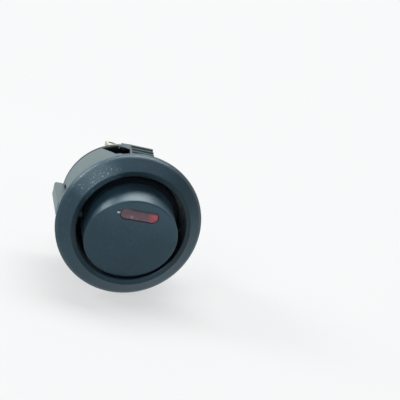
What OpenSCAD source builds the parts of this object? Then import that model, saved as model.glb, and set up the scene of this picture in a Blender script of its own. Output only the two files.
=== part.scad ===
// Round illuminated panel rocker switch for a 20 mm hole.
// The switch stands as it does in a vertical panel: its axis runs along Y,
// the rocker faces -Y and the lamp end of the rocker is up, at +Z.
// The origin lies on the axis, in the plane where the flange seats on the panel.
// Every module below is drawn in the switch's own directions, with z out of
// the face and y toward the lamp end, and placed() turns them to the panel.

/* [Bezel] */
// Diameter of the flange that covers the panel hole
flange_d = 23; // [22:0.1:24]
// Thickness of the flange at its rim
rim_t = 0.8; // [0.5:0.05:1.2]
// Height of the flat land around the opening, above the panel
land_h = 2.3; // [1.9:0.05:2.4]
// Outer diameter of the flat land
land_d = 18.5; // [18.2:0.1:19.2]
// Drop of the land from its outer edge to the opening
land_drop = 0.12; // [0:0.02:0.2]
// Diameter of the opening and of the bore behind it
opening_d = 16.9; // [16.9:0.05:17.4]

/* [Drum] */
// Diameter of the drum that passes through the panel
drum_d = 19.6; // [19.3:0.1:19.8]
// Distance from the panel seat to the rear face
drum_len = 13.6; // [13.4:0.1:14.6]
// Thickness of the lip of the rear base
base_lip = 0.8; // [0.6:0.1:1.1]
// Half width of the window around each snap arm, at its rear end
window_half = 4.5; // [3.8:0.1:4.8]
// How much narrower each side of the window is at its front end
window_taper = 1.5; // [0:0.1:1.8]
// Distance from the panel seat to the front edge of that window
window_front = 6.9; // [6.2:0.1:7.6]

/* [Snap arms] */
// Width of each snap arm
arm_w = 3.5; // [2.6:0.1:3.8]
// Radius of the highest ratchet tooth
arm_crest = 11.9; // [11:0.1:12.1]
// Offset of the snap arms from the middle of the drum
arm_off = -0.4; // [-0.5:0.1:0.3]
// Distance from the panel seat to the back of the highest tooth
arm_crest_z = 3.3; // [3:0.1:4]
// Number of ratchet steps below the highest tooth
arm_steps = 3; // [2:1:4]
// Thickness of the spring part of the arm
arm_t = 0.6; // [0.5:0.05:0.9]

/* [Key ribs] */
// Width of the key rib on each side of the drum
key_w = 1.9; // [1.4:0.1:2.4]
// Radius of the outer face of the key rib
key_r = 11.3; // [10.4:0.1:11.4]
// Width of the channel along each side of a rib
key_gap = 0.6; // [0.4:0.05:0.8]
// Distance from the panel seat to the front end of the key rib
key_front = 1.7; // [1.5:0.1:3]

/* [Rocker] */
// Diameter of the rocker's face
face_d = 14.4; // [13.8:0.1:14.4]
// Height of the face above the pivot
face_h = 5.4; // [5.2:0.05:5.4]
// Rounding of the face's edge
edge_r = 0.3; // [0.3:0.05:0.7]
// Depth of the dish in the face
dish = 0.22; // [0.1:0.02:0.4]
// Draft of the rocker's side wall in degrees
side_draft = 3.2; // [2:0.1:4]
// Tilt of the rocker to each side of its middle, in degrees
tilt = 15; // [12:0.5:15]
// Distance from the panel seat back to the pivot
pivot_back = 1.8; // [1.8:0.05:2.2]
// Diameter of the rocker's pivot pins
pin_d = 1.8; // [1.4:0.1:2]
// Radial clearance of a pin in its bore
pin_gap = 0.05; // [0.03:0.01:0.08]

/* [Lens] */
// Length of the lamp window
lens_l = 5.9; // [5:0.1:6.6]
// Width of the lamp window
lens_w = 2; // [1.9:0.05:2.4]
// Distance of the window's middle from the middle of the face
lens_y = 4.6; // [4.4:0.05:4.9]
// Corner radius of the window
lens_r = 0.9; // [0.4:0.05:0.95]

/* [Contacts] */
// Distance from the rocker's pivot to the tip of the plunger
plunger_reach = 7; // [6.8:0.05:7.1]
// Diameter of the plunger
plunger_d = 2; // [1.6:0.1:2]
// Tilt of the contact blade to each side, in degrees
blade_tilt = 8; // [6:0.5:9]
// Thickness of the contact blade
blade_t = 0.5; // [0.4:0.05:0.6]
// Width of the contact blade
blade_w = 2.8; // [2.2:0.1:2.8]
// Number of coils in the plunger spring
spring_turns = 8; // [6:1:9]

/* [Terminals] */
// Width of the two power terminals
power_w = 4.8; // [4:0.1:4.8]
// Width of the lamp's ground terminal
ground_w = 2.2; // [1.8:0.1:2.6]
// Thickness of the terminals
term_t = 0.8; // [0.6:0.1:0.8]
// Length of the terminals behind the base
term_len = 9.6; // [8:0.1:11]

/* [Hidden] */
$fn = 96;

flange_r = flange_d / 2;
bore_r = opening_d / 2;
drum_r = drum_d / 2;
face_r = face_d / 2;
pin_r = pin_d / 2;
tip_r = plunger_d / 2;
plunger_l = 3.4;            // straight part of the plunger
stem_r = tip_r + 0.65;
stem_end = -4.6;            // lower end of the rocker's stem, from the pivot
skirt_end = -1.4;           // lower edge of the rocker's side wall
collar_r = bore_r - 0.5;    // radius of the collar at that edge
roof_t = 1.3;               // thickness of the rocker's face
skirt_t = 1.05;             // thickness of the rocker's side wall
tube_end = -(drum_len - base_lip);
base_top = -drum_len + 2.2;  // inner face of the base
blade_z = -pivot_back - plunger_reach - 0.5;   // pivot of the contact blade
trunnion_r = 0.3;
stop_h = 1.95;              // stop on the base under the blade's free end
wall_y = 6.5;               // chamber walls behind the snap arms
wall_t = 0.6;
wall_z0 = -10.6;
wall_z1 = -5.7;
load_y = -7.3;
ground_y = 7.5;
ground_x = -1.6;
led_y = 4.6;                // lamp under the window
led_z = -9.6;
led_r = 1.45;
lead_x = 1.15;
lead_r = 0.22;
resistor_x = 5;
resistor_z = -10.5;
contact_s = -5;             // contact's place along the blade
bend_s = 2.75;              // where the contact arm bends up
blade_flat = 0.35;          // height of the arm at that bend
contact_r = 1.05;
tab_t = 0.64;
rim_r = 0.3;                // rounding of the flange's rim
pin_end = bore_r + 0.4;
lens_gap = 0.1;             // gap around the lens

// The plunger's tip runs along this arc in the blade's own directions,
// so the blade's trough is an arc about the same centre.
function tip_path(a, b) = let (
    y = (plunger_reach - tip_r) * sin(a),
    h = -pivot_back - (plunger_reach - tip_r) * cos(a) - blade_z)
    [y * cos(b) - h * sin(b), y * sin(b) + h * cos(b)];
path_mid = tip_path(0, 0);
path_end = tip_path(tilt, blade_tilt);
path_rise = path_end[1] - path_mid[1];
path_r = (pow(path_end[0], 2) + pow(path_rise, 2)) / (2 * path_rise);
trough_y = path_mid[1] + path_r;
trough_r = path_r + tip_r + 0.05;
trough_a = asin(path_end[0] / path_r) - 1;

// Points of an arc, from angle a0 to a1 in n steps.
function arc(c, r, a0, a1, n) =
    [for (i = [0:n]) let (a = a0 + (a1 - a0) * i / n)
        [c[0] + r * cos(a), c[1] + r * sin(a)]];

// Turns a piece from the switch's directions to the panel's.
module placed() {
    rotate([90, 0, 0]) children();
}

// Places a piece that rides on the rocker, at the rocker's resting tilt.
module on_rocker() {
    translate([0, 0, -pivot_back]) rotate([tilt, 0, 0]) children();
}

// Places a piece that rides on the contact blade, at its resting tilt.
module on_blade() {
    translate([0, 0, blade_z]) rotate([-blade_tilt, 0, 0]) children();
}

// Extrudes a profile drawn in y and z along x, about the middle.
module across(w) {
    rotate([90, 0, 90]) linear_extrude(height = w, center = true) children();
}

// A bar with rounded corners, standing on z = 0.
module round_bar(l, w, r, h) {
    linear_extrude(height = h) union() {
        square([l - 2 * r, w], center = true);
        square([l, w - 2 * r], center = true);
        for (x = [-1, 1], y = [-1, 1])
            translate([x * (l / 2 - r), y * (w / 2 - r)]) circle(r, $fn = 32);
    }
}

// Flange, land and drum tube as one turned profile. The flange's cone runs
// straight from the land's edge to the rim's rounding, which it meets at cone_a.
module shell() {
    n = 6;
    run = flange_r - rim_r - land_d / 2;
    drop = land_h - rim_t + rim_r;
    cone_a = 90 - atan2(drop, run) + asin(rim_r / norm([run, drop]));
    rotate_extrude() polygon(concat(
        [[bore_r, tube_end], [drum_r - 0.25, tube_end], [drum_r, tube_end + 0.25],
         [drum_r, -0.3], [drum_r - 0.2, -0.3], [drum_r - 0.2, 0],
         [flange_r - 0.15, 0], [flange_r, 0.15]],
        arc([flange_r - rim_r, rim_t - rim_r], rim_r, 0, cone_a, n),
        [[land_d / 2, land_h]],
        arc([bore_r + 0.2, land_h - land_drop - 0.2], 0.2, 90, 180, n)));
}

// One snap arm at the lamp end. Its foot stands on the drum's rear ring, its
// back slopes out to the crest, and its ratchet steps fall toward the flange.
module snap_arm() {
    foot = tube_end;
    bow = drum_r + 0.6;     // how far the arm bows out at its foot
    bow_z = foot + 2.1;
    nose_low = drum_r + 0.15;
    nose_z = -0.4;
    crest_l = 0.7;          // length of the crest's flat
    step_r = 0.27;
    step_z = (arm_crest_z - crest_l + nose_z) / arm_steps;
    stairs = [for (i = [0:arm_steps - 1]) each
        [[arm_crest - step_r * i, crest_l - arm_crest_z + step_z * i],
         [arm_crest - step_r * (i + 1), crest_l - arm_crest_z + step_z * i]]];
    translate([arm_off, 0, 0]) across(arm_w) polygon(concat(
        [[bore_r + 0.5, foot], [drum_r - 0.05, foot], [drum_r - 0.05, bow_z - 0.9],
         [bow, bow_z], [arm_crest, -arm_crest_z]],
        stairs,
        [[arm_crest - step_r * arm_steps, nose_z - 0.2],
         [arm_crest - step_r * arm_steps - 0.2, nose_z], [nose_low, nose_z],
         [nose_low, nose_z - 1.6], [arm_crest - arm_t - 0.1, -arm_crest_z + 0.3],
         [bow - arm_t, bow_z + 0.1], [drum_r - arm_t, bow_z - 0.7],
         [bore_r + 0.5, foot + 0.5]]));
}

// What is cut from the tube at one end so that the snap arm can bend: a window
// that narrows toward the flange and a slot under the arm's nose.
module arm_relief() {
    rear_z = tube_end + 0.5;
    front_half = window_half - window_taper;
    translate([arm_off, 12, 0]) rotate([90, 0, 0]) linear_extrude(height = 6)
        polygon([[-window_half, rear_z], [window_half, rear_z],
                 [front_half, -window_front], [-front_half, -window_front]]);
    translate([arm_off - arm_w / 2 - 0.3, 6, rear_z])
        cube([arm_w + 0.6, 6, -rear_z - 0.9]);
}

// The channels around one key rib. They pass through the wall behind the
// pivot and are shallow pockets beside it.
module key_relief() {
    rear_z = -11.2;
    pivot_z = -pivot_back - pin_r - 0.7;
    floor_r = bore_r + 1;
    half = key_w / 2 + key_gap;
    difference() {
        union() {
            translate([7, -half, rear_z]) cube([4, 2 * half, pivot_z - rear_z]);
            translate([floor_r, -half, rear_z]) cube([2, 2 * half, -rear_z - 0.7]);
        }
        translate([6, -key_w / 2, rear_z - 1]) cube([6, key_w, 1 - rear_z - key_front]);
    }
}

// One key rib, standing out from the drum and over the lip of the base.
module key_rib() {
    inner_r = bore_r + 0.8;
    rear_z = -drum_len + 0.3;
    translate([0, key_w / 2, 0]) rotate([90, 0, 0]) linear_extrude(height = key_w)
        polygon([[inner_r, tube_end], [drum_r + 0.05, tube_end], [drum_r + 0.05, rear_z],
                 [key_r - 0.3, rear_z], [key_r, rear_z + 0.9],
                 [key_r, -key_front - 0.2], [key_r - 0.2, -key_front],
                 [inner_r, -key_front]]);
}

// Wall of the contact chamber, behind the window of one snap arm.
module chamber_wall() {
    intersection() {
        translate([-6, wall_y, wall_z0]) cube([12, wall_t, wall_z1 - wall_z0]);
        translate([0, 0, wall_z0]) cylinder(r = bore_r + 0.2, h = wall_z1 - wall_z0);
    }
}

module housing() {
    color("#2c343a") placed() difference() {
        union() {
            difference() {
                shell();
                for (m = [0, 1]) mirror([0, m, 0]) arm_relief();
                for (m = [0, 1]) mirror([m, 0, 0]) key_relief();
            }
            for (m = [0, 1]) mirror([0, m, 0]) chamber_wall();
            for (m = [0, 1]) mirror([0, m, 0]) snap_arm();
            for (m = [0, 1]) mirror([m, 0, 0]) key_rib();
        }
        // pivot bores for the rocker's pins
        for (m = [0, 1]) mirror([m, 0, 0])
            translate([bore_r - 0.6, 0, -pivot_back]) rotate([0, 90, 0])
                cylinder(r = pin_r + pin_gap, h = pin_end + 0.15 - bore_r + 0.6);
    }
}

module base() {
    color("#22282d") placed() difference() {
        union() {
            translate([0, 0, -drum_len]) cylinder(r1 = drum_r - 0.3, r2 = drum_r, h = 0.3);
            translate([0, 0, -drum_len + 0.3]) cylinder(r = drum_r, h = base_lip - 0.3);
            translate([0, 0, tube_end]) cylinder(r = bore_r, h = base_top - tube_end);
            // stop under the free end of the contact blade
            translate([-1.2, 1.7, base_top]) cube([2.4, 0.8, stop_h]);
        }
        for (t = [[0, 0, power_w], [0, load_y, power_w], [ground_x, ground_y, ground_w]])
            translate([t[0] - t[2] / 2, t[1] - term_t / 2, -drum_len - 1])
                cube([t[2], term_t, 5]);
    }
}

// Turned profile of the rocker: dished face, rounded edge, drafted side wall
// and the wider collar that carries the pins.
module rocker_cup() {
    d = tan(side_draft);
    flat_r = face_r - edge_r;
    low_r = face_r + (face_h - edge_r - 0.6) * d;
    dish_c = face_h - dish + (pow(flat_r, 2) + pow(dish, 2)) / (2 * dish);
    dish_r = dish_c - face_h + dish;
    dish_a = asin(flat_r / dish_r);
    rotate_extrude() polygon(concat(
        [for (i = [0:8]) let (a = dish_a * i / 8)
            [dish_r * sin(a), dish_c - dish_r * cos(a)]],
        arc([flat_r, face_h - edge_r], edge_r, 78, 0, 6),
        [[low_r, 0.6], [collar_r, 0.1], [collar_r, skirt_end + 0.2],
         [collar_r - 0.2, skirt_end], [low_r - skirt_t, skirt_end],
         [face_r - skirt_t, face_h - roof_t - 0.5],
         [face_r - skirt_t - 0.5, face_h - roof_t], [0, face_h - roof_t]]));
}

module rocker() {
    color("#39434a") placed() on_rocker() difference() {
        union() {
            rocker_cup();
            translate([0, 0, stem_end]) cylinder(r = stem_r, h = face_h - roof_t - stem_end + 0.2);
            // ribs from the stem to the pin bosses
            translate([-face_r + 0.5, -0.45, -1]) cube([face_d - 1, 0.9, face_h - roof_t + 1.2]);
            for (m = [0, 1]) mirror([m, 0, 0]) {
                translate([face_r - 1, 0, 0]) rotate([0, 90, 0])
                    cylinder(r = pin_r, h = pin_end - face_r + 1);
            }
            // frame under the face that carries the lens
            translate([0, lens_y, face_h - roof_t - 0.7])
                round_bar(lens_l + 1.8, lens_w + 1.2, lens_r + 0.3, 0.9);
        }
        translate([0, 0, stem_end - 1]) cylinder(r = tip_r + 0.05, h = 1 - stem_end + 3.1);
        translate([0, lens_y, face_h - roof_t - 1]) {
            round_bar(lens_l, lens_w, lens_r, 4);
            round_bar(lens_l + 0.8, lens_w + 0.5, lens_r + 0.2, 0.8);
        }
    }
}

// The lens is crowned across its width, and its foot sits in the frame.
module lens() {
    top = face_h - 0.12;
    foot = face_h - roof_t - 0.8;
    crown_r = 4.5;
    color("#a23a45") placed() on_rocker() translate([0, lens_y, 0]) union() {
        intersection() {
            translate([0, 0, foot + 0.4])
                round_bar(lens_l - 2 * lens_gap, lens_w - 2 * lens_gap, lens_r - lens_gap,
                          top - foot);
            translate([-lens_l / 2, 0, top - crown_r]) rotate([0, 90, 0])
                cylinder(r = crown_r, h = lens_l);
        }
        translate([0, 0, foot])
            round_bar(lens_l + 0.7, lens_w + 0.4, lens_r + 0.15, 0.6);
    }
}

module plunger() {
    color("#d8d4c8") placed() on_rocker() union() {
        translate([0, 0, -plunger_reach + tip_r]) cylinder(r = tip_r, h = plunger_l);
        intersection() {
            translate([0, 0, -plunger_reach + tip_r]) sphere(r = tip_r);
            translate([-2, -2, -plunger_reach - 1]) cube([4, 4, tip_r + 1]);
        }
        // nose that the spring slips over
        translate([0, 0, -plunger_reach + tip_r + plunger_l]) cylinder(r = 0.4, h = 0.7);
    }
}

// A coil of round wire, swept with a small ring at each step.
module coil(r, wire, z0, z1, turns, steps, sides) {
    n = turns * steps;
    pts = [for (i = [0:n], j = [0:sides - 1]) let (
        a = 360 * i / steps, b = 360 * j / sides,
        q = r + wire * cos(b))
        [q * cos(a), q * sin(a), z0 + (z1 - z0) * i / n + wire * sin(b)]];
    faces = concat(
        [[for (j = [0:sides - 1]) j]],
        [for (i = [0:n - 1], j = [0:sides - 1]) let (k = (j + 1) % sides)
            [i * sides + j, (i + 1) * sides + j, (i + 1) * sides + k, i * sides + k]],
        [[for (j = [sides - 1:-1:0]) n * sides + j]]);
    polyhedron(points = pts, faces = faces, convexity = 10);
}

module plunger_spring() {
    wire = 0.16;
    seat = -plunger_reach + tip_r + plunger_l + wire + 0.01;
    color("#b9bcc0") placed() on_rocker() coil(0.68, wire, seat, 2.9, spring_turns, 18, 6);
}

// The blade's strip: a trough under the plunger, a short arm toward the lamp
// and a long arm that carries the contact.
module blade_strip() {
    c = [0, trough_y];
    arm_y = trough_y - trough_r * cos(trough_a);
    s_end = trough_r * sin(trough_a);
    tail_s = contact_s - 1.1;
    tail_z = blade_flat - (tail_s + bend_s) * tan(blade_tilt);
    top = concat([[tail_s, tail_z], [-bend_s, blade_flat], [-s_end - 0.2, arm_y + 0.02]],
                 arc(c, trough_r, 270 - trough_a, 270 + trough_a, 12),
                 [[s_end + 0.2, arm_y + 0.02], [2.45, arm_y - 0.15]]);
    bottom = concat([[2.45, arm_y - 0.15 - blade_t], [s_end + 0.1, arm_y - blade_t - 0.02]],
                    arc(c, trough_r + blade_t, 270 + trough_a - 5, 270 - trough_a + 5, 12),
                    [[-s_end - 0.1, arm_y - blade_t - 0.02], [-bend_s, blade_flat - blade_t],
                     [tail_s, tail_z - blade_t]]);
    across(blade_w) polygon(concat(top, bottom));
}

module contact_blade() {
    color("#b87a4b") placed() on_blade() difference() {
        union() {
            blade_strip();
            translate([-2.4, 0, 0]) rotate([0, 90, 0]) cylinder(r = trunnion_r, h = 4.8);
        }
        // hole for the contact's shank
        contact_seat() translate([0, 0, -2]) cylinder(r = 0.5, h = 4);
    }
}

// Puts a piece on the underside of the blade's contact arm.
module contact_seat() {
    translate([0, contact_s, blade_flat - (contact_s + bend_s) * tan(blade_tilt) - blade_t])
        rotate([-blade_tilt, 0, 0]) children();
}

module moving_contact() {
    color("#cfd3d6") placed() on_blade() contact_seat() union() {
        translate([0, 0, -0.5]) cylinder(r1 = contact_r - 0.15, r2 = contact_r, h = 0.2);
        translate([0, 0, -0.3]) cylinder(r = contact_r, h = 0.3);
        cylinder(r = 0.5, h = blade_t);
        translate([0, 0, blade_t]) cylinder(r1 = 0.75, r2 = 0.6, h = 0.2);
    }
}

module fixed_contact() {
    color("#cfd3d6") placed() translate([0, contact_s, base_top + tab_t]) union() {
        cylinder(r = contact_r, h = 0.25);
        translate([0, 0, 0.25]) cylinder(r1 = contact_r, r2 = contact_r - 0.15, h = 0.13);
        translate([0, 0, -tab_t]) cylinder(r = 0.5, h = tab_t);
    }
}

// A terminal's blade behind the base: round hole, clipped corners and a tip
// thinned from both faces so that a receptacle slides on.
module lug(w, hole) {
    tip = -drum_len - term_len;
    intersection() {
        rotate([90, 0, 0]) linear_extrude(height = term_t, center = true) difference() {
            polygon([[-w / 2, base_top], [-w / 2, tip + 0.35], [-w / 2 + 0.35, tip],
                     [w / 2 - 0.55, tip], [w / 2, tip + 0.7], [w / 2, base_top]]);
            translate([0, tip + w * 0.38 + 0.5]) circle(d = hole, $fn = 48);
        }
        across(w) polygon([[-term_t / 2, base_top], [-term_t / 2, tip + 0.5],
                           [-term_t / 4, tip], [term_t / 4, tip],
                           [term_t / 2, tip + 0.5], [term_t / 2, base_top]]);
    }
}

module common_terminal() {
    color("#c9ccce") placed() union() {
        lug(power_w, 1.7);
        // fork that cradles the contact blade
        difference() {
            translate([-power_w / 2, -term_t / 2, base_top])
                cube([power_w, term_t, blade_z - base_top + 0.15]);
            translate([-blade_w / 2 - 0.2, -2, blade_z - 1.1])
                cube([blade_w + 0.4, 4, 4]);
            translate([-3, 0, blade_z]) rotate([0, 90, 0])
                cylinder(r = trunnion_r + 0.05, h = 6);
        }
    }
}

module load_terminal() {
    color("#c9ccce") placed() union() {
        translate([0, load_y, 0]) lug(power_w, 1.7);
        difference() {
            translate([-power_w / 2, load_y - term_t / 2, base_top])
                cube([power_w, contact_s + 1.2 - load_y + term_t / 2, tab_t]);
            translate([0, contact_s, base_top - 1]) cylinder(r = 0.5, h = 3);
        }
    }
}

module ground_terminal() {
    color("#c9ccce") placed() translate([ground_x, ground_y, 0]) union() {
        lug(ground_w, 1.4);
        translate([-ground_w / 2, -term_t / 2, base_top]) cube([ground_w, term_t, 0.7]);
    }
}

module led_lamp() {
    color("#d86a72") placed() translate([0, led_y, 0]) union() {
        translate([0, 0, led_z]) cylinder(r = led_r, h = 2.55);
        translate([0, 0, led_z + 2.55]) intersection() {
            sphere(r = led_r);
            translate([-2, -2, 0]) cube([4, 4, 2]);
        }
    }
}

// A straight run of wire from one point to another, along x, y or z,
// with a round knee where it turns out of the run before it.
module wire_run(p, q, r, knee = true) {
    d = q - p;
    turn = d[0] != 0 ? [0, 90 * sign(d[0]), 0]
        : d[1] != 0 ? [-90 * sign(d[1]), 0, 0]
        : [d[2] < 0 ? 180 : 0, 0, 0];
    translate(p) rotate(turn) cylinder(r = r, h = norm(d), $fn = 24);
    if (knee) translate(p) sphere(r = r, $fn = 24);
}

// Runs under the chamber wall to the ground terminal.
module cathode_lead() {
    low = -10.95;
    color("#c4c7c9") placed() union() {
        wire_run([-lead_x, led_y, led_z], [-lead_x, led_y, low], lead_r, knee = false);
        wire_run([-lead_x, led_y, low], [-lead_x, ground_y - term_t / 2, low], lead_r);
    }
}

// Runs along the base to the resistor.
module anode_lead() {
    color("#c4c7c9") placed() union() {
        wire_run([lead_x, led_y, led_z], [lead_x, led_y, resistor_z], lead_r, knee = false);
        wire_run([lead_x, led_y, resistor_z], [resistor_x, led_y, resistor_z], lead_r);
        wire_run([resistor_x, led_y, resistor_z], [resistor_x, 1.8, resistor_z], lead_r);
    }
}

// Body of the resistor with its own lead to the load terminal.
module led_resistor() {
    end_y = -5.9;
    end_z = base_top + tab_t / 2;
    color("#5b8fb0") placed() union() {
        for (m = [0, 1])
            translate([resistor_x, 0, resistor_z]) mirror([0, m, 0]) rotate([-90, 0, 0]) {
                cylinder(r = 0.72, h = 1.05);
                translate([0, 0, 1.05]) cylinder(r = 0.85, h = 0.75);
            }
        wire_run([resistor_x, -1.8, resistor_z], [resistor_x, end_y, resistor_z], lead_r,
                 knee = false);
        wire_run([resistor_x, end_y, resistor_z], [resistor_x, end_y, end_z], lead_r);
        wire_run([resistor_x, end_y, end_z], [power_w / 2, end_y, end_z], lead_r);
    }
}

housing();
base();
rocker();
lens();
plunger();
plunger_spring();
contact_blade();
moving_contact();
fixed_contact();
common_terminal();
load_terminal();
ground_terminal();
led_lamp();
cathode_lead();
anode_lead();
led_resistor();
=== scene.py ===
"""Looks of a round illuminated panel rocker switch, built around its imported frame.

The switch stands as in a vertical panel: its axis runs along Y, the rocker faces -Y and the
lamp end of the rocker is up, at +Z. Sizes are in metres unless a name says otherwise.
"""
import logging
import math
from dataclasses import dataclass, field
from enum import Enum

import bmesh
import bpy
from mathutils import Matrix, Vector


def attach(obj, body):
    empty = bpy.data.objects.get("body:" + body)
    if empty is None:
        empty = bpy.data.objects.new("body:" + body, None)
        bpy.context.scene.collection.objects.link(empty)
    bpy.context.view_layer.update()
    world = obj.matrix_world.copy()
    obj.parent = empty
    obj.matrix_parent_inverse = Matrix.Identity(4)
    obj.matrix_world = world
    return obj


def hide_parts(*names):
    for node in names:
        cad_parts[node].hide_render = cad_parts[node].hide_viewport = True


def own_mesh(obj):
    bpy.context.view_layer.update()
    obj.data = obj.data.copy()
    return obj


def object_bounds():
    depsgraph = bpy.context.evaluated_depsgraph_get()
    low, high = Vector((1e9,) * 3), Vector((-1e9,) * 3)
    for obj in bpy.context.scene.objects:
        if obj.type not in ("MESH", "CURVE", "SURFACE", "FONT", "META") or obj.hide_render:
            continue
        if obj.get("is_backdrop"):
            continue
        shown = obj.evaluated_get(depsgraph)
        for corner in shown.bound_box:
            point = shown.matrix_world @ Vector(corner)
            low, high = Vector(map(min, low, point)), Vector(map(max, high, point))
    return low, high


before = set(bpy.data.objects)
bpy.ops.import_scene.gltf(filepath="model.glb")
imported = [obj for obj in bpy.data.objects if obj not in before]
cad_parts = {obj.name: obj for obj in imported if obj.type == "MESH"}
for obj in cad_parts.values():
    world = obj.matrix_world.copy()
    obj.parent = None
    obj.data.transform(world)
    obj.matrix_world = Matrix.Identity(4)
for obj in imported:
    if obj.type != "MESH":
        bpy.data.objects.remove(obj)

LOG = logging.getLogger("rocker_switch")
MM = 0.001
BEVEL_SAMPLES = 6
ROCKER_TILT = math.radians(15)
ROCKER_PIVOT = (0.0, 1.8 * MM, 0.0)

Colour = tuple[float, float, float]
Place = tuple[float, float, float]
Span = tuple[float, float]
Socket = bpy.types.NodeSocket


class Body(Enum):
    """The CAD bodies that the scene's own pieces ride on."""

    SWITCH = "switch_body"
    ROCKER = "rocker_body"


class Axis(Enum):
    """The direction in which a metal part was rolled or drawn."""

    X = 0
    Y = 1
    Z = 2


def rgba(colour: Colour) -> tuple[float, float, float, float]:
    """Gives a colour with full opacity."""
    return (*colour, 1.0)


def shade(colour: Colour, factor: float) -> Colour:
    """Gives the colour made darker or lighter by a factor."""
    return tuple(min(1.0, part * factor) for part in colour)


class Graph:
    """The node tree of one material or world, with a short method for each kind of node."""

    def __init__(self, owner: bpy.types.Material | bpy.types.World) -> None:
        """Starts an empty tree.

        Args:
            owner: The new material or world.
        """
        owner.use_nodes = True
        self.owner = owner
        self.tree = owner.node_tree
        self.tree.nodes.clear()
        is_world = isinstance(owner, bpy.types.World)
        self.output = self.node("ShaderNodeOutputWorld" if is_world else "ShaderNodeOutputMaterial")
        places = self.node("ShaderNodeTexCoord").outputs
        self.place: Socket = places["Generated" if is_world else "Object"]

    @classmethod
    def of(cls, name: str) -> "Graph":
        """Starts an empty material of that name."""
        return cls(bpy.data.materials.new(name))

    def node(self, kind: str, inputs: dict | None = None, **settings: str | int) -> bpy.types.Node:
        """Adds a node.

        Args:
            kind: The node's type name.
            inputs: Values or sockets for its inputs, by name or index.
            settings: Values for its own properties.

        Returns:
            The new node.
        """
        made = self.tree.nodes.new(kind)
        for key, value in settings.items():
            setattr(made, key, value)
        for key, value in (inputs or {}).items():
            if isinstance(value, bpy.types.NodeSocket):
                self.tree.links.new(value, made.inputs[key])
            else:
                made.inputs[key].default_value = value
        return made

    def math(self, operation: str, *values: float | Socket) -> Socket:
        """Works out one value from others."""
        return self.node("ShaderNodeMath", dict(enumerate(values)), operation=operation).outputs[0]

    def times(self, first: Socket, *others: float | Socket) -> Socket:
        """Multiplies values, which for masks keeps what they share.

        Args:
            first: The first value.
            others: The values to multiply it by.

        Returns:
            The product.
        """
        product = first
        for other in others:
            product = self.math("MULTIPLY", product, other)
        return product

    def scaled(self, value: Socket, factor: float | Socket, start: float | Socket) -> Socket:
        """Gives the value times a factor, plus a start."""
        return self.math("MULTIPLY_ADD", value, factor, start)

    def parts(self, vector: Socket) -> tuple[Socket, Socket, Socket]:
        """Gives the x, y and z of a vector."""
        outs = self.node("ShaderNodeSeparateXYZ", {0: vector}).outputs
        return outs[0], outs[1], outs[2]

    def turned(self, origin: Place, angle: float) -> tuple[Socket, Socket, Socket]:
        """Gives the place across, in depth and up, as a piece has them that is turned about X."""
        inputs = {"Vector": self.place, "Location": Vector(origin), "Rotation": (angle, 0.0, 0.0)}
        return self.parts(self.node("ShaderNodeMapping", inputs, vector_type="TEXTURE").outputs[0])

    def stretched(self, scale: Place) -> Socket:
        """Gives the place scaled along each axis."""
        return self.node("ShaderNodeMapping", {"Vector": self.place, "Scale": scale}).outputs[0]

    def noise(self, size: float, detail: float = 3.0, place: Socket | None = None) -> Socket:
        """Gives a cloudy value about 0.5, with clouds of that size and finer layers in them."""
        inputs = {"Vector": place or self.place, "Scale": 1.0 / size, "Detail": detail}
        return self.node("ShaderNodeTexNoise", inputs).outputs["Fac"]

    def varied(
        self, value: Socket, colour: Colour, factors: Span, span: Span = (0.3, 0.7)
    ) -> Socket:
        """Makes a colour darker and lighter with a value.

        Args:
            value: The value, from 0 to 1.
            colour: The colour between the two.
            factors: How dark and how light it gets.
            span: The values at which it is darkest and lightest.

        Returns:
            The colour.
        """
        made = self.node("ShaderNodeValToRGB", {0: value})
        for element, position, factor in zip(made.color_ramp.elements, span, factors):
            element.position = position
            element.color = rgba(shade(colour, factor))
        return made.outputs["Color"]

    def fade(self, value: Socket, start: float, end: float) -> Socket:
        """Gives 0 before start and 1 after end, smoothly between them."""
        inputs = {"Value": value, "From Min": start, "From Max": end}
        return self.node("ShaderNodeMapRange", inputs, interpolation_type="SMOOTHSTEP").outputs[0]

    def band(self, value: Socket, centre: float, half: float) -> Socket:
        """Gives 1 at the centre and fades to 0 at half a width to either side."""
        away = self.math("ABSOLUTE", self.math("SUBTRACT", value, centre))
        return self.fade(away, half, 0.0)

    def mix(
        self, amount: float | Socket, under: Colour | Socket, over: Colour | Socket, share: float = 1.0
    ) -> Socket:
        """Lays one colour over another.

        Args:
            amount: How much of it lies there, from 0 to 1.
            under: The colour below.
            over: The colour above.
            share: How much of the colour below it covers at most.

        Returns:
            The colour.
        """
        sides = [c if isinstance(c, bpy.types.NodeSocket) else rgba(c) for c in (under, over)]
        if share != 1.0:
            amount = self.math("MULTIPLY", amount, share)
        inputs = {0: amount, 6: sides[0], 7: sides[1]}
        return self.node("ShaderNodeMix", inputs, data_type="RGBA").outputs[2]

    def bump(self, height: Socket, depth: float, under: Socket | None = None) -> Socket:
        """Gives the normal of a surface with that relief.

        Args:
            height: The relief, from 0 to 1.
            depth: The depth from 0 to 1, in metres.
            under: The normal of a coarser relief below it.

        Returns:
            The normal.
        """
        inputs = {"Height": height, "Distance": depth, "Strength": 1.0}
        if under is not None:
            inputs["Normal"] = under
        return self.node("ShaderNodeBump", inputs).outputs[0]

    def rounded(self, radius: float) -> Socket:
        """Gives normals that run round the sharp edges with that radius."""
        return self.node("ShaderNodeBevel", {"Radius": radius}, samples=BEVEL_SAMPLES).outputs[0]

    def choice(self, test: Socket, other: bpy.types.Node, chosen: bpy.types.Node) -> bpy.types.Node:
        """Mixes two shaders, the chosen one where the test is 1."""
        sides = {0: test, 1: other.outputs[0], 2: chosen.outputs[0]}
        return self.node("ShaderNodeMixShader", sides)

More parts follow.
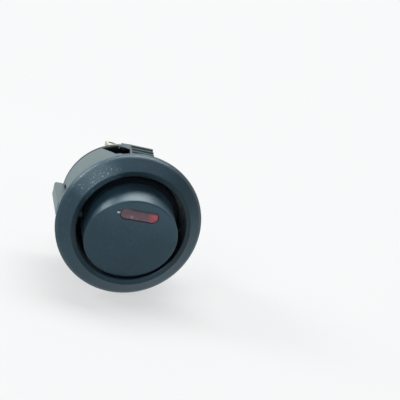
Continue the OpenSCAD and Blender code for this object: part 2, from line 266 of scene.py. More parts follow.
    def end(self, shader: bpy.types.Node) -> None:
        """Shows a shader on the surface."""
        self.tree.links.new(shader.outputs[0], self.output.inputs["Surface"])

    def surface(self, **inputs: float | tuple | Socket) -> bpy.types.Material:
        """Ends the material in one Principled shader.

        Args:
            inputs: Its inputs, with an underscore for each space.

        Returns:
            The finished material.
        """
        named = {key.replace("_", " "): value for key, value in inputs.items()}
        self.end(self.node("ShaderNodeBsdfPrincipled", named))
        return self.owner


@dataclass(frozen=True)
class Spot:
    """A small mark with soft edges, and where it lies."""

    across: float
    up: float
    half_width: float
    half_height: float

    def mask(self, graph: Graph, across: Socket, up: Socket) -> Socket:
        """Gives 1 in the middle of the mark and 0 outside it."""
        wide = graph.band(across, self.across, self.half_width)
        return graph.times(wide, graph.band(up, self.up, self.half_height))


@dataclass(frozen=True)
class Specks:
    """Small round specks: the gap between their places, their radius and the share of places."""

    gap: float
    radius: float
    share: float

    def mask(self, graph: Graph) -> Socket:
        """Scatters the specks.

        Args:
            graph: The material's nodes.

        Returns:
            A value that is 1 on a speck.
        """
        inputs = {"Vector": graph.place, "Scale": 1.0 / self.gap}
        places = graph.node("ShaderNodeTexVoronoi", inputs).outputs
        chance = graph.parts(places["Color"])[0]
        width = self.radius / self.gap
        near = graph.fade(places["Distance"], width, 0.5 * width)
        return graph.times(near, graph.math("LESS_THAN", chance, self.share))


@dataclass(frozen=True)
class MouldedBlack:
    """Black moulding plastic with a spark-eroded texture."""

    name: str
    colour: Colour
    # a pale tone for mottle, dust and scuffs, also used for painted highlights
    pale_and_highlight: Colour = (0.045, 0.085, 0.11)
    # a near-black, used for painted shade in the bore, behind the windows and on the collar, and for a
    # dark spot by the lens
    shade_and_spot_black: Colour = (0.0003, 0.002, 0.008)
    gloss_tint: Colour = (0.78, 0.95, 1.0)
    sheen_tint: Colour = (0.85, 0.97, 1.0)
    sheen: float = 0.08
    ior: float = 1.5
    roughness: float = 0.42
    unevenness: float = 0.14
    sheen_roughness: float = 0.35
    cloud: float = 5.0 * MM
    cloud_range: Span = (0.8, 1.2)
    mottle: float = 0.45 * MM
    mottle_edge: Span = (0.5, 0.8)
    mottle_share: float = 0.18
    grain: float = 0.16 * MM
    grain_depth: float = 0.006 * MM
    edge: float = 0.07 * MM
    dust: Specks = Specks(0.7 * MM, 0.05 * MM, 0.2)
    dust_share: float = 0.5

    def base(self, graph: Graph) -> tuple[Socket, Socket, Socket]:
        """Adds the moulding's own variation.

        Args:
            graph: The material's nodes.

        Returns:
            Its colour, roughness and normal.
        """
        mottle = graph.noise(self.mottle, 2.0)
        tone = graph.varied(graph.noise(self.cloud), self.colour, self.cloud_range)
        tone = graph.mix(graph.fade(mottle, *self.mottle_edge), tone, self.pale_and_highlight, self.mottle_share)
        varied = graph.times(mottle, self.unevenness)
        rough = graph.math("ADD", varied, self.roughness - 0.5 * self.unevenness)
        grain = graph.noise(self.grain, 2.0)
        return tone, rough, graph.bump(grain, self.grain_depth, graph.rounded(self.edge))

    def material(self) -> bpy.types.Material:
        """Builds the finish.

        Returns:
            The finished material.
        """
        graph = Graph.of(self.name)
        tone, rough, relief = self.base(graph)
        return self.finish(graph, self.dusted(graph, tone), rough, relief)

    def dusted(self, graph: Graph, tone: Socket) -> Socket:
        """Scatters the finish's dust over a colour."""
        return graph.mix(self.dust.mask(graph), tone, self.pale_and_highlight, self.dust_share)

    def finish(self, graph: Graph, tone: Socket, rough: Socket, relief: Socket) -> bpy.types.Material:
        """Ends the plastic in a shader with the faint sheen of its texture.

        Args:
            graph: The material's nodes.
            tone: Its colour.
            rough: Its roughness.
            relief: Its normal.

        Returns:
            The finished material.
        """
        return graph.surface(
            Base_Color=tone, Roughness=rough, Normal=relief, IOR=self.ior,
            Specular_Tint=rgba(self.gloss_tint),
            Sheen_Weight=self.sheen, Sheen_Roughness=self.sheen_roughness,
            Sheen_Tint=rgba(self.sheen_tint),
        )


@dataclass(frozen=True)
class HousingBlack(MouldedBlack):
    """The housing's plastic: painted shade on the land, specked on the cone, dust and a painted sheen on
    the drum.
    """

    # depths over which the front face begins, and the drum behind the flange
    front_edge: Span = (-0.1 * MM, -0.4 * MM)
    drum_edge: Span = (0.0, 0.3 * MM)
    rim_radius: float = 11.5 * MM
    rim_half: float = 0.12 * MM
    rim_highlight_share: float = 0.5
    roll_start: float = 10.9 * MM
    roll_rate: float = 0.75 / MM
    land_radius: float = 9.25 * MM
    land_edge: Span = (9.5 * MM, 9.15 * MM)
    land_lean: float = 0.2
    # heights over which the land's painted shade sets in, from its lower end up
    land_rise: Span = (-8.5 * MM, -1.5 * MM)
    land_factor: float = 0.4
    land_share: float = 0.75
    land_polish: float = 0.06
    bore_radius: float = 8.5 * MM
    bore_edge: Span = (-2.1 * MM, -1.4 * MM)
    window_radius: Span = (9.7 * MM, 9.4 * MM)
    window_edge: Span = (0.2 * MM, 0.6 * MM)
    # how near the upper left the specks gather, and the drum's dust and painted sheen are strongest
    gather_edge: Span = (0.91, 0.985)
    upper_left_edge: Span = (-0.1, 0.85)
    chalk: Colour = (0.22, 0.27, 0.29)
    chalk_share: float = 0.8
    haze_share: float = 0.4
    coarse: Specks = Specks(0.4 * MM, 0.13 * MM, 0.42)
    fine: Specks = Specks(0.19 * MM, 0.055 * MM, 0.6)
    dust: Specks = Specks(0.8 * MM, 0.05 * MM, 0.25)
    clump: float = 1.1 * MM
    clump_edge: Span = (0.38, 0.56)
    # the drum's pale colour, for dust and a painted sheen
    dim_lens_and_drum_dust_sheen: Colour = (0.06, 0.086, 0.088)
    drum_dust_and_sheen_share: float = 0.28
    upper_left_share: float = 0.55
    smear: float = 0.22 * MM
    smear_share: float = 0.5

    def material(self) -> bpy.types.Material:
        """Builds the finish.

        Returns:
            The finished material.
        """
        graph = Graph.of(self.name)
        tone, rough, relief = self.base(graph)
        across, depth, up = graph.parts(graph.place)
        squares = [graph.math("POWER", side, 2.0) for side in (across, up)]
        radius = graph.math("SQRT", graph.math("ADD", *squares))
        front = graph.fade(depth, *self.front_edge)
        # 1 on the line from the axis to the upper left, and less away from it
        aslant = graph.math("SUBTRACT", up, across)
        lean = graph.math("DIVIDE", aslant, graph.times(radius, math.sqrt(2)))

        # painted shade on the land, none at its lower end
        land = graph.times(front, graph.fade(radius, *self.land_edge))
        shaded = graph.times(land, graph.fade(up, *self.land_rise))
        tone = graph.mix(shaded, tone, shade(self.colour, self.land_factor), self.land_share)
        rough = graph.math("SUBTRACT", rough, graph.times(land, self.land_polish))
        relief = graph.bump(self.roll(graph, radius), 1.0, relief)
        tone = self.specked(graph, tone, graph.times(graph.fade(lean, *self.gather_edge), front))
        # dust and a painted sheen on the drum
        tone = graph.mix(self.drum_dust_and_sheen(graph, lean, depth), tone, self.dim_lens_and_drum_dust_sheen)
        # a painted highlight round the rim's edge
        rim_highlight = graph.band(radius, self.rim_radius, self.rim_half)
        tone = graph.mix(rim_highlight, tone, self.pale_and_highlight, self.rim_highlight_share)
        # painted shade in the bore and behind the windows
        tone = graph.mix(self.hollow_shade(graph, radius, depth), tone, self.shade_and_spot_black)
        return self.finish(graph, tone, rough, relief)

    def roll(self, graph: Graph, radius: Socket) -> Socket:
        """Gives the height by which the land leans to the opening and the rim rolls over.

        Args:
            graph: The material's nodes.
            radius: The distance from the axis.

        Returns:
            The height, in metres.
        """
        lean_in = graph.times(graph.math("MINIMUM", radius, self.land_radius), self.land_lean)
        past = graph.math("MAXIMUM", graph.math("SUBTRACT", radius, self.roll_start), 0.0)
        return graph.scaled(graph.math("POWER", past, 2.0), -self.roll_rate, lean_in)

    def specked(self, graph: Graph, tone: Socket, gather: Socket) -> Socket:
        """Scatters pale specks over the cone, most of them where they gather.

        Args:
            graph: The material's nodes.
            tone: The colour below.
            gather: A value that is 1 where the specks gather.

        Returns:
            The colour.
        """
        few = graph.times(self.dust.mask(graph), self.haze_share)
        haze = graph.math("MAXIMUM", graph.times(gather, self.haze_share), few)
        grains = graph.math("MAXIMUM", self.coarse.mask(graph), self.fine.mask(graph))
        clumps = graph.fade(graph.noise(self.clump), *self.clump_edge)
        many = graph.times(grains, gather, clumps)
        return graph.mix(many, graph.mix(haze, tone, self.pale_and_highlight), self.chalk, self.chalk_share)

    def drum_dust_and_sheen(self, graph: Graph, lean: Socket, depth: Socket) -> Socket:
        """Gives how much dust and painted sheen lie on the drum, most of all at its upper left.

        Args:
            graph: The material's nodes.
            lean: How near the place is to the upper left.
            depth: The depth behind the panel's face.

        Returns:
            A value from 0 to 1.
        """
        near = graph.fade(lean, *self.upper_left_edge)
        dust_and_sheen = graph.scaled(near, self.upper_left_share, self.drum_dust_and_sheen_share)
        smears = graph.noise(self.smear, 4.0)
        smeared = graph.scaled(smears, self.smear_share, 1.0 - 0.5 * self.smear_share)
        return graph.times(dust_and_sheen, smeared, graph.fade(depth, *self.drum_edge))

    def hollow_shade(self, graph: Graph, radius: Socket, depth: Socket) -> Socket:
        """Gives 1 in the bore and behind the windows, where no light reaches, for a painted shade.

        Args:
            graph: The material's nodes.
            radius: The distance from the axis.
            depth: The depth behind the panel's face.

        Returns:
            A value from 0 to 1.
        """
        within = graph.math("LESS_THAN", radius, self.bore_radius)
        bore = graph.times(within, graph.fade(depth, *self.bore_edge))
        inner = graph.fade(radius, *self.window_radius)
        window = graph.times(inner, graph.fade(depth, *self.window_edge))
        return graph.math("MAXIMUM", bore, window)


@dataclass(frozen=True)
class RockerBlack(MouldedBlack):
    """The rocker's plastic: a finer grain, with faint scuffs in the middle of its face."""

    roughness: float = 0.37
    grain: float = 0.12 * MM
    dust: Specks = Specks(1.1 * MM, 0.045 * MM, 0.16)
    glint_and_bare_lead: Colour = (0.36, 0.43, 0.45)
    crown: float = 0.13
    collar_edge: Span = (-0.75 * MM, -0.6 * MM)
    tilt: float = ROCKER_TILT
    pivot: Place = ROCKER_PIVOT
    slant: float = -0.7
    scuff_share: float = 0.28
    scuff_grain: float = 0.35 * MM
    scuff_edge: Span = (0.4, 0.65)
    upper_light_edge: Span = (0.0, 7.0 * MM)
    upper_light_share: float = 0.25
    long_scuff: Spot = Spot(0.5 * MM, 0.1 * MM, 0.28 * MM, 1.0 * MM)
    short_scuff: Spot = Spot(-0.2 * MM, -0.5 * MM, 0.2 * MM, 0.7 * MM)
    dark_spot: Spot = Spot(-3.25 * MM, 5.12 * MM, 0.34 * MM, 0.26 * MM)
    dark_spot_edge: Span = (0.1, 0.6)
    dark_spot_share: float = 0.8
    glint: Spot = Spot(-3.22 * MM, 4.68 * MM, 0.42 * MM, 0.26 * MM)
    glint_edge: Span = (0.15, 0.6)

    def material(self) -> bpy.types.Material:
        """Builds the finish.

        Returns:
            The finished material.
        """
        graph = Graph.of(self.name)
        tone, rough, relief = self.base(graph)
        across, depth, up = graph.turned(self.pivot, self.tilt)
        # the side wall is slightly crowned
        relief = graph.bump(graph.times(depth, self.crown), 1.0, relief)
        # two short strokes left by a fingernail
        slanted = graph.math("ADD", across, graph.times(up, self.slant))
        strokes = [scuff.mask(graph, slanted, up) for scuff in (self.long_scuff, self.short_scuff)]
        broken = graph.fade(graph.noise(self.scuff_grain), *self.scuff_edge)
        scuffed = graph.times(graph.math("MAXIMUM", *strokes), broken)
        tone = graph.mix(scuffed, tone, self.pale_and_highlight, self.scuff_share)
        # a dark spot and a painted glint at the lens's left end
        dark_spot = graph.fade(self.dark_spot.mask(graph, across, up), *self.dark_spot_edge)
        tone = graph.mix(dark_spot, tone, self.shade_and_spot_black, self.dark_spot_share)
        # a painted glint at the lens's left end
        glint = graph.fade(self.glint.mask(graph, across, up), *self.glint_edge)
        tone = graph.mix(glint, tone, self.glint_and_bare_lead)
        # painted light: it pales toward the lamp end, its upper side
        tone = graph.mix(graph.fade(up, *self.upper_light_edge), tone, self.pale_and_highlight, self.upper_light_share)
        tone = self.dusted(graph, tone)
        # painted black shade on the collar, down in the gap, where it is also made fully rough
        collar_shade = graph.fade(depth, *self.collar_edge)
        tone = graph.mix(collar_shade, tone, self.shade_and_spot_black)
        return self.finish(graph, tone, graph.math("MAXIMUM", rough, collar_shade), relief)


@dataclass(frozen=True)
class LensRed:
    """Translucent red acrylic, unlit, brighter where light leaves its far end."""

    name: str = "lens_red"
    dim_lens_and_drum_dust_sheen: Colour = (0.085, 0.038, 0.054)
    bright: Colour = (0.5, 0.028, 0.042)
    milk: Colour = (0.19, 0.105, 0.125)
    shadow: Colour = (0.018, 0.006, 0.012)
    pale: Colour = (0.3, 0.13, 0.16)
    half_length: float = 2.95 * MM
    half_width: float = 1.0 * MM
    middle: float = 4.6 * MM
    tilt: float = ROCKER_TILT
    pivot: Place = ROCKER_PIVOT
    # where the edges lie along the lens in half lengths, and up it in half widths
    end_edge: Span = (0.3, 0.72)
    end_share: float = 0.22
    corner_edge: Span = (-0.5, 0.55)
    corner_share: float = 0.68
    shadow_start: Span = (-0.7, -0.3)
    shadow_edge: Span = (0.4, 0.8)
    shadow_share: float = 0.9
    # the fleck's height is counted in half widths of the lens too
    fleck: Spot = Spot(-1.07 * MM, -0.42, 0.36 * MM, 0.4)
    fleck_share: float = 0.9
    swirl: float = 0.9 * MM
    swirl_share: float = 0.2
    flow: float = 0.5 * MM
    flow_slant: float = 0.5 * MM
    flow_squeeze: float = 0.3
    flow_share: float = 0.3
    milk_edge: Span = (0.5, 0.75)
    ripple: float = 0.5 * MM
    ripple_depth: float = 0.01 * MM
    edge: float = 0.15 * MM
    smoothest: float = 0.16
    unevenness: float = 0.16
    ior: float = 1.49
    clearness: float = 0.12
    varnish: float = 0.2

    def material(self) -> bpy.types.Material:
        """Builds the finish.

        Returns:
            The finished material.
        """
        graph = Graph.of(self.name)
        across, _, up = graph.turned(self.pivot, self.tilt)
        height = graph.math("DIVIDE", graph.math("SUBTRACT", up, self.middle), self.half_width)
        swirl = graph.noise(self.swirl)
        # light leaves at the far end, most of it at the upper corner
        end = graph.fade(across, *self.along(self.end_edge))
        corner = graph.times(graph.math("POWER", end, 2.0), graph.fade(height, *self.corner_edge))
        tone = graph.mix(end, self.dim_lens_and_drum_dust_sheen, self.bright, self.end_share)
        tone = graph.mix(corner, tone, self.bright, self.corner_share)
        # milky flow lines of the moulding
        skew = graph.scaled(height, self.flow_slant, across)
        squeezed = graph.times(up, self.flow_squeeze)
        lines = graph.node("ShaderNodeCombineXYZ", {0: skew, 1: squeezed}).outputs[0]
        flow = graph.noise(self.flow, 2.0, lines)
        tone = graph.mix(graph.fade(flow, *self.milk_edge), tone, self.milk, self.flow_share)
        tone = graph.mix(graph.fade(swirl, *self.milk_edge), tone, self.milk, self.swirl_share)
        # a pale fleck near the lower edge
        tone = graph.mix(self.fleck.mask(graph, across, height), tone, self.pale, self.fleck_share)
        # a painted shadow along the upper edge, but not at the dull end
        kept = graph.fade(across, *self.along(self.shadow_start))
        edge_shadow = graph.times(graph.fade(height, *self.shadow_edge), kept)
        tone = graph.mix(edge_shadow, tone, self.shadow, self.shadow_share)
        rough = graph.scaled(swirl, self.unevenness, self.smoothest)
        ripple = graph.noise(self.ripple)
        relief = graph.bump(ripple, self.ripple_depth, graph.rounded(self.edge))
        return graph.surface(
            Base_Color=tone, Roughness=rough, Normal=relief, IOR=self.ior,
            Transmission_Weight=self.clearness, Coat_Weight=self.varnish,
        )

    def along(self, shares: Span) -> Span:
        """Gives places along the lens from shares of its half length."""
        return tuple(share * self.half_length for share in shares)


@dataclass(frozen=True)
class RolledMetal:
    """Sheet metal with streaks along the way it was rolled, and tarnish in patches."""

    name: str
    colour: Colour
    tarnish: Colour
    along: Axis = Axis.Y
    roughness: float = 0.3
    unevenness: float = 0.25
    streak: float = 0.06 * MM
    streak_squeeze: float = 0.04
    streak_range: Span = (0.86, 1.08)
    streak_depth: float = 0.004 * MM
    patch: float = 1.6 * MM
    patch_edge: Span = (0.48, 0.72)
    patch_share: float = 0.6
    edge: float = 0.06 * MM

    def material(self) -> bpy.types.Material:
        """Builds the finish.

        Returns:
            The finished material.
        """
        graph = Graph.of(self.name)
        scale = [1.0, 1.0, 1.0]
        scale[self.along.value] = self.streak_squeeze
        streaks = graph.noise(self.streak, 3.0, graph.stretched(tuple(scale)))
        patches = graph.noise(self.patch, 4.0)
        tone = graph.varied(streaks, self.colour, self.streak_range)
        tone = graph.mix(graph.fade(patches, *self.patch_edge), tone, self.tarnish, self.patch_share)
        rough = graph.scaled(patches, self.unevenness, self.roughness - 0.4 * self.unevenness)
        relief = graph.bump(streaks, self.streak_depth, graph.rounded(self.edge))
        return graph.surface(Base_Color=tone, Roughness=rough, Normal=relief, Metallic=1.0)


@dataclass(frozen=True)
class Nylon:
    """Natural nylon: milky, waxy and slightly mottled."""

    name: str = "nylon_natural"
    colour: Colour = (0.66, 0.63, 0.55)
    cloud: float = 0.8 * MM
    cloud_range: Span = (0.88, 1.1)
    grain: float = 0.12 * MM
    grain_depth: float = 0.004 * MM
    edge: float = 0.08 * MM
    smoothest: float = 0.3
    unevenness: float = 0.2
    ior: float = 1.53
    glow: float = 0.3
    glow_depth: Place = (0.4 * MM, 0.35 * MM, 0.25 * MM)

    def material(self) -> bpy.types.Material:
        """Builds the finish.

        Returns:
            The finished material.
        """
        graph = Graph.of(self.name)
        clouds = graph.noise(self.cloud)
        tone = graph.varied(clouds, self.colour, self.cloud_range)
        rough = graph.scaled(clouds, self.unevenness, self.smoothest)
        relief = graph.bump(graph.noise(self.grain), self.grain_depth, graph.rounded(self.edge))
        return graph.surface(
            Base_Color=tone, Roughness=rough, Normal=relief, IOR=self.ior,
            Subsurface_Weight=self.glow, Subsurface_Radius=self.glow_depth,
        )


@dataclass(frozen=True)
class LampEpoxy:
    """Tinted epoxy of the lamp, clearer toward its dome."""

    name: str = "lamp_epoxy"
    deep: Colour = (0.34, 0.02, 0.03)
    clear: Colour = (0.75, 0.12, 0.13)
    dome: float = 6.2 * MM
    rim: float = 9.6 * MM
    swirl: float = 0.5 * MM
    swirl_edge: Span = (0.55, 0.8)
    smear: float = 1.2 * MM
    ripple: float = 0.7 * MM
    ripple_depth: float = 0.006 * MM
    smoothest: float = 0.06
    unevenness: float = 0.12
    ior: float = 1.55
    clearness: float = 0.4
    varnish: float = 0.4

    def material(self) -> bpy.types.Material:
        """Builds the finish.

        Returns:
            The finished material.
        """
        graph = Graph.of(self.name)
        depth = graph.parts(graph.place)[1]
        tone = graph.mix(graph.fade(depth, self.rim, self.dome), self.deep, self.clear)
        swirl = graph.fade(graph.noise(self.swirl), *self.swirl_edge)
        tone = graph.mix(swirl, tone, self.deep)
        rough = graph.scaled(graph.noise(self.smear), self.unevenness, self.smoothest)
        relief = graph.bump(graph.noise(self.ripple), self.ripple_depth)
        return graph.surface(
            Base_Color=tone, Roughness=rough, Normal=relief, IOR=self.ior,
            Transmission_Weight=self.clearness, Coat_Weight=self.varnish,
        )


@dataclass(frozen=True)
class BandedCoat:
    """The resistor's painted coat with its colour rings."""

    name: str = "resistor_paint"
    coat: Colour = (0.16, 0.33, 0.45)
    rings: tuple[Colour, ...] = (
        (0.35, 0.22, 0.02), (0.3, 0.04, 0.35), (0.16, 0.05, 0.02), (0.6, 0.42, 0.12),
    )
    coat_range: Span = (0.85, 1.15)
    coat_edge: Span = (0.35, 0.7)
    pitch: float = 0.72 * MM
    width: float = 0.3 * MM
    ring_edge: Span = (0.3, 0.5)
    ring_fray: float = 0.06 * MM
    chip: float = 0.3 * MM
    chip_depth: float = 0.01 * MM
    smoothest: float = 0.25
    unevenness: float = 0.2
    body_half: float = 1.9 * MM
    lead: Colour = (0.7, 0.7, 0.69)

    def material(self) -> bpy.types.Material:
        """Builds the finish.

        Returns:
            The finished material.
        """
        graph = Graph.of(self.name)
        along = graph.parts(graph.place)[2]
        chips = graph.noise(self.chip)
        tone = graph.varied(chips, self.coat, self.coat_range, self.coat_edge)
        frayed = graph.math("ADD", along, graph.times(chips, self.ring_fray))
        first = -0.5 * self.pitch * (len(self.rings) - 1)
        for index, ring in enumerate(self.rings):
            here = graph.band(frayed, first + index * self.pitch, self.width)
            tone = graph.mix(graph.fade(here, *self.ring_edge), tone, ring)
        glint_and_bare_lead = graph.math("GREATER_THAN", graph.math("ABSOLUTE", along), self.body_half)
        tone = graph.mix(glint_and_bare_lead, tone, self.lead)
        rough = graph.scaled(chips, self.unevenness, self.smoothest)
        relief = graph.bump(chips, self.chip_depth)
        return graph.surface(Base_Color=tone, Roughness=rough, Normal=relief, Metallic=glint_and_bare_lead)


def dress(node: str, material: bpy.types.Material) -> None:
    """Gives a CAD node its finish.

    Args:
        node: The node's name.
        material: Its material.
    """
    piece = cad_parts[node]
    piece.data.materials.clear()
    piece.data.materials.append(material)
    LOG.info("dressed %s in %s", node, material.name)


def add_piece(data: bpy.types.Mesh, material: bpy.types.Material) -> bpy.types.Object:
    """Adds one of the scene's own pieces.

    Args:
        data: Its mesh, whose name it takes.
        material: Its finish.

    Returns:
        The piece.
    """
    data.materials.clear()
    data.materials.append(material)
    piece = bpy.data.objects.new(data.name, data)
    bpy.context.scene.collection.objects.link(piece)
    LOG.info("built %s", piece.name)
    return piece


@dataclass
class SlotWeb:
    """A thin web that closes the slot under one snap arm, so that no light passes through."""

    name: str
    side: int
    middle: float = -0.4 * MM
    half_width: float = 2.3 * MM
    inner: float = 8.75 * MM
    thickness: float = 0.3 * MM
    front: float = 0.8 * MM
    rear: float = 6.3 * MM
    steps: int = 12

    def build(self, material: bpy.types.Material) -> None:
        """Makes the web and fixes it to the housing.

        Args:
            material: The housing's finish.
        """
        mesh = bmesh.new()
        outer = self.inner + self.thickness
        corners = (
            (self.inner, self.front), (self.inner, self.rear), (outer, self.rear), (outer, self.front),
        )
        rings = [self.ring(mesh, radius, depth) for radius, depth in corners]
        for ring, after in zip(rings, rings[1:] + rings[:1]):
            for i in range(self.steps):
                mesh.faces.new((ring[i], ring[i + 1], after[i + 1], after[i]))
        for end in (0, -1):
            mesh.faces.new([ring[end] for ring in rings])
        bmesh.ops.recalc_face_normals(mesh, faces=mesh.faces)
        data = bpy.data.meshes.new(self.name)
        mesh.to_mesh(data)
        mesh.free()
        web = add_piece(data, material)
        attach(web, Body.SWITCH.value)

    def ring(self, mesh: bmesh.types.BMesh, radius: float, depth: float) -> list[bmesh.types.BMVert]:
        """Adds one row of points along the web's curve.

        Args:
            mesh: The mesh that they go into.
            radius: Their distance from the switch's axis.
            depth: Their depth behind the panel's face.

        Returns:
            The points, from left to right.
        """
        spread = [2 * i / self.steps - 1 for i in range(self.steps + 1)]
        across = [self.middle + self.half_width * share for share in spread]
        return [mesh.verts.new((x, depth, self.side * math.sqrt(radius**2 - x**2))) for x in across]


@dataclass
class Mouldings:
    """The housing and the base that closes it."""

    shell: HousingBlack = HousingBlack("housing_black", (0.006, 0.022, 0.036))
    rear: MouldedBlack = MouldedBlack("base_black", (0.006, 0.013, 0.018), roughness=0.5)
    webs: tuple[SlotWeb, ...] = (SlotWeb("slot_web_lamp_end", 1), SlotWeb("slot_web_far_end", -1))

    def build(self) -> None:
        """Dresses both mouldings and closes the slots under the snap arms."""
        shell = self.shell.material()
        dress("housing", shell)
        for slot_web in self.webs:
            slot_web.build(shell)
        dress("base", self.rear.material())


@dataclass
class PlungerCoil:
    """The plunger's spring, copied from its CAD node."""

    name: str = "plunger_coil"
    tilt: float = ROCKER_TILT
    travel: float = 0.8 * MM

    def build(self, material: bpy.types.Material) -> None:
        """Makes the spring in the place of its CAD node.

        Args:
            material: The spring's finish.
        """
        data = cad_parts["plunger_spring"].data.copy()
        data.name = self.name
        coil = add_piece(data, material)
        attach(coil, Body.ROCKER.value)
        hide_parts("plunger_spring")
        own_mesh(coil)


@dataclass
class RockerAssembly:
    """The rocker with its lens, and what its stem holds."""

    plastic: RockerBlack = RockerBlack("rocker_black", (0.005, 0.021, 0.036))
    lens: LensRed = LensRed()
    nylon: Nylon = Nylon()
    wire: RolledMetal = RolledMetal("spring_wire", (0.56, 0.57, 0.58), (0.3, 0.28, 0.25), Axis.X, 0.25)

    def build(self) -> None:
        """Dresses the rocker, the lens, the plunger and its spring."""
        dress("rocker", self.plastic.material())
        dress("lens", self.lens.material())
        dress("plunger", self.nylon.material())
        wire = self.wire.material()
        dress("plunger_spring", wire)
        PlungerCoil().build(wire)


@dataclass
class ContactGear:
    """Blade, contacts and terminals."""

    copper: RolledMetal = RolledMetal("copper_strip", (0.78, 0.42, 0.25), (0.4, 0.2, 0.12), Axis.Z, 0.32)
    silver: RolledMetal = RolledMetal("silver_alloy", (0.86, 0.85, 0.81), (0.5, 0.46, 0.38), Axis.X, 0.28)
    tin: RolledMetal = RolledMetal("tinned_brass", (0.46, 0.44, 0.375), (0.33, 0.3, 0.24), Axis.Y, 0.64)

    def build(self) -> None:
        """Dresses the blade, its contacts and the three terminals."""
        dress("contact_blade", self.copper.material())
        silver = self.silver.material()
        for node in ("moving_contact", "fixed_contact"):
            dress(node, silver)
        tin = self.tin.material()
        for node in ("common_terminal", "load_terminal", "ground_terminal"):
            dress(node, tin)


@dataclass
class LampCircuit:
    """Lamp, leads and resistor."""

    epoxy: LampEpoxy = LampEpoxy()
    wire: RolledMetal = RolledMetal("tinned_wire", (0.6, 0.6, 0.58), (0.42, 0.41, 0.38), Axis.X, 0.5)
    coat: BandedCoat = BandedCoat()

    def build(self) -> None:
        """Dresses the lamp, its two leads and the resistor."""
        dress("led_lamp", self.epoxy.material())
        wire = self.wire.material()
        for node in ("cathode_lead", "anode_lead"):
            dress(node, wire)
        dress("led_resistor", self.coat.material())


@dataclass
class SoftLamp:
    """One soft studio lamp with an oval face."""

    name: str
    place: Place
    size: tuple[float, float]
    power: float

    def build(self, aim: Vector) -> None:
        """Makes the lamp.

        Args:
            aim: The point that it shines on.
        """
        data = bpy.data.lights.new(self.name, "AREA")
        data.shape = "ELLIPSE"
        data.size, data.size_y = self.size
        data.energy = self.power
        lamp = bpy.data.objects.new(self.name, data)
        lamp.location = Vector(self.place)
        lamp.rotation_euler = (aim - lamp.location).to_track_quat("-Z", "Y").to_euler()
        lamp.visible_camera = False
        bpy.context.scene.collection.objects.link(lamp)


@dataclass
class PaperFloor:
    """A pale sheet under the switch, which keeps its shadow and has no edge to be seen."""

    paper: Colour
    size: float = 1.6
    mirrored: Colour = (0.74, 0.85, 0.9)
    matt_share: float = 0.2
    glow_share: float = 0.61
    unseen_share: float = 0.85
    # the distances from the switch over which it turns as white as its surroundings
    fade: Span = (0.05, 0.25)

    def build(self, height: float) -> None:
        """Lays the sheet.

        Args:
            height: The sheet's height.
        """
        half = self.size / 2
        corners = [(x, y, height) for x, y in ((-half, -half), (half, -half), (half, half), (-half, half))]
        mesh = bpy.data.meshes.new("floor")
        mesh.from_pydata(corners, [], [(0, 1, 2, 3)])
        mesh.materials.append(self.material())
        floor = bpy.data.objects.new("floor", mesh)
        bpy.context.scene.collection.objects.link(floor)
        floor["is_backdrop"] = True

    def material(self) -> bpy.types.Material:
        """Builds the sheet's finish.

        Returns:
            The finished material.
        """
        graph = Graph.of("pale_paper")
        path = graph.node("ShaderNodeLightPath").outputs
        matt = graph.node("ShaderNodeBsdfDiffuse", {"Color": rgba(shade(self.paper, self.matt_share))})
        glow = graph.node("ShaderNodeEmission", {"Color": rgba(self.paper), "Strength": self.glow_share})
        near = graph.node("ShaderNodeAddShader", {0: matt.outputs[0], 1: glow.outputs[0]})
        far = graph.node("ShaderNodeEmission", {"Color": rgba(self.paper), "Strength": 1.0})
        away = graph.node("ShaderNodeVectorMath", {0: graph.place}, operation="LENGTH").outputs["Value"]
        seen = graph.choice(graph.fade(away, *self.fade), near, far)
        mirrored = graph.node("ShaderNodeEmission", {"Color": rgba(self.mirrored), "Strength": 1.0})
        plain = graph.node("ShaderNodeBsdfDiffuse", {"Color": rgba(shade(self.paper, self.unseen_share))})
        unseen = graph.choice(path["Is Glossy Ray"], plain, mirrored)
        graph.end(graph.choice(path["Is Camera Ray"], unseen, seen))
        return graph.owner


@dataclass
class Surroundings:
    """White surroundings, which are dim in front of the switch for the light that they give."""

    paper: Colour
    room_edge: Span = (-0.35, 0.3)
    right_edge: Span = (0.3, 0.8)
    front_level: float = 0.68
    right_level: float = 0.12
    light_share: float = 0.55

    def build(self) -> None:
        """Makes the world: white to the camera, and its own levels to gloss and to light."""
        world = bpy.data.worlds.new("white_surround")
        bpy.context.scene.world = world
        graph = Graph(world)
        aside, behind, _ = graph.parts(graph.place)
        path = graph.node("ShaderNodeLightPath").outputs
        clear = graph.math("MAXIMUM", path["Is Glossy Ray"], path["Is Transmission Ray"])
        right = graph.fade(aside, *self.right_edge)
        front = graph.scaled(right, self.right_level - self.front_level, self.front_level)
        room = graph.fade(behind, *self.room_edge)
        mirrored = graph.scaled(room, graph.math("SUBTRACT", 1.0, front), front)
        sides = {0: clear, 2: graph.times(mirrored, self.light_share), 3: mirrored}
        level = graph.node("ShaderNodeMix", sides, data_type="FLOAT").outputs[0]
        around = graph.node("ShaderNodeBackground", {"Color": rgba(self.paper), "Strength": level})
        seen = graph.node("ShaderNodeBackground", {"Color": rgba(self.paper)})
        graph.end(graph.choice(path["Is Camera Ray"], around, seen))


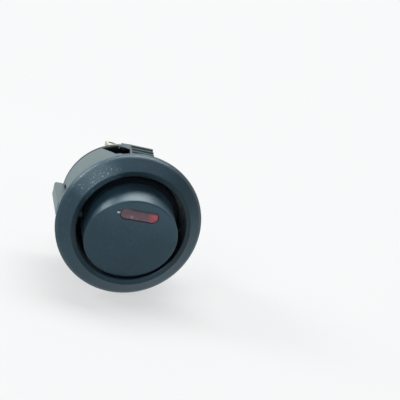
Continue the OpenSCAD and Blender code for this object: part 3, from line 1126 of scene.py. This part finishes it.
@dataclass
class StudioCamera:
    """The camera, placed by its aim, distance and angles in degrees."""

    lens_mm: float = 54.0
    sensor_mm: float = 36.0
    aim: Place = (10.17 * MM, 0.0, 6.03 * MM)
    distance: float = 96.02 * MM
    azimuth: float = 20.23
    pitch: float = 13.99
    roll: float = 15.71
    clip: Span = (0.005, 10.0)

    def build(self) -> None:
        """Makes the camera and sets it as the scene's own."""
        turn, tip, roll = (math.radians(angle) for angle in (self.azimuth, self.pitch, self.roll))
        ahead = Vector((math.sin(turn) * math.cos(tip), math.cos(turn) * math.cos(tip), -math.sin(tip)))
        level = Vector((math.cos(turn), -math.sin(turn), 0.0))
        right = level * math.cos(roll) + level.cross(ahead) * math.sin(roll)
        data = bpy.data.cameras.new("camera")
        data.lens = self.lens_mm
        data.sensor_width = self.sensor_mm
        data.clip_start, data.clip_end = self.clip
        camera = bpy.data.objects.new("camera", data)
        axes = Matrix((right, right.cross(ahead), -ahead)).transposed().to_4x4()
        camera.matrix_world = Matrix.Translation(Vector(self.aim) - ahead * self.distance) @ axes
        bpy.context.scene.collection.objects.link(camera)
        bpy.context.scene.camera = camera


@dataclass
class Studio:
    """Pale floor, white surroundings, soft lamps and the camera."""

    paper: Colour = (0.94, 0.95, 0.955)
    lamps: list[SoftLamp] = field(default_factory=lambda: [
        SoftLamp("window_above", (0.14, 0.4, 1.31), (1.8, 0.62), 26.5),
        SoftLamp("low_left", (-1.15, 0.4, 0.75), (0.5, 0.5), 12.0),
        SoftLamp("corner_lamp", (-0.9, -0.75, 0.8), (0.6, 0.6), 5.0),
    ])

    def build(self, low: Vector, high: Vector) -> None:
        """Sets the stage.

        Args:
            low: The object's lowest corner.
            high: Its highest corner.
        """
        PaperFloor(self.paper).build(low.z)
        Surroundings(self.paper).build()
        for lamp in self.lamps:
            lamp.build((low + high) / 2)
        StudioCamera().build()
        bpy.context.scene.view_settings.view_transform = "Standard"


def main() -> None:
    """Builds the dressed switch and its studio in order."""
    logging.basicConfig(level=logging.INFO)
    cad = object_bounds()
    for assembly in (Mouldings(), RockerAssembly(), ContactGear(), LampCircuit()):
        assembly.build()
    Studio().build(*cad)


if __name__ == "__main__":
    main()
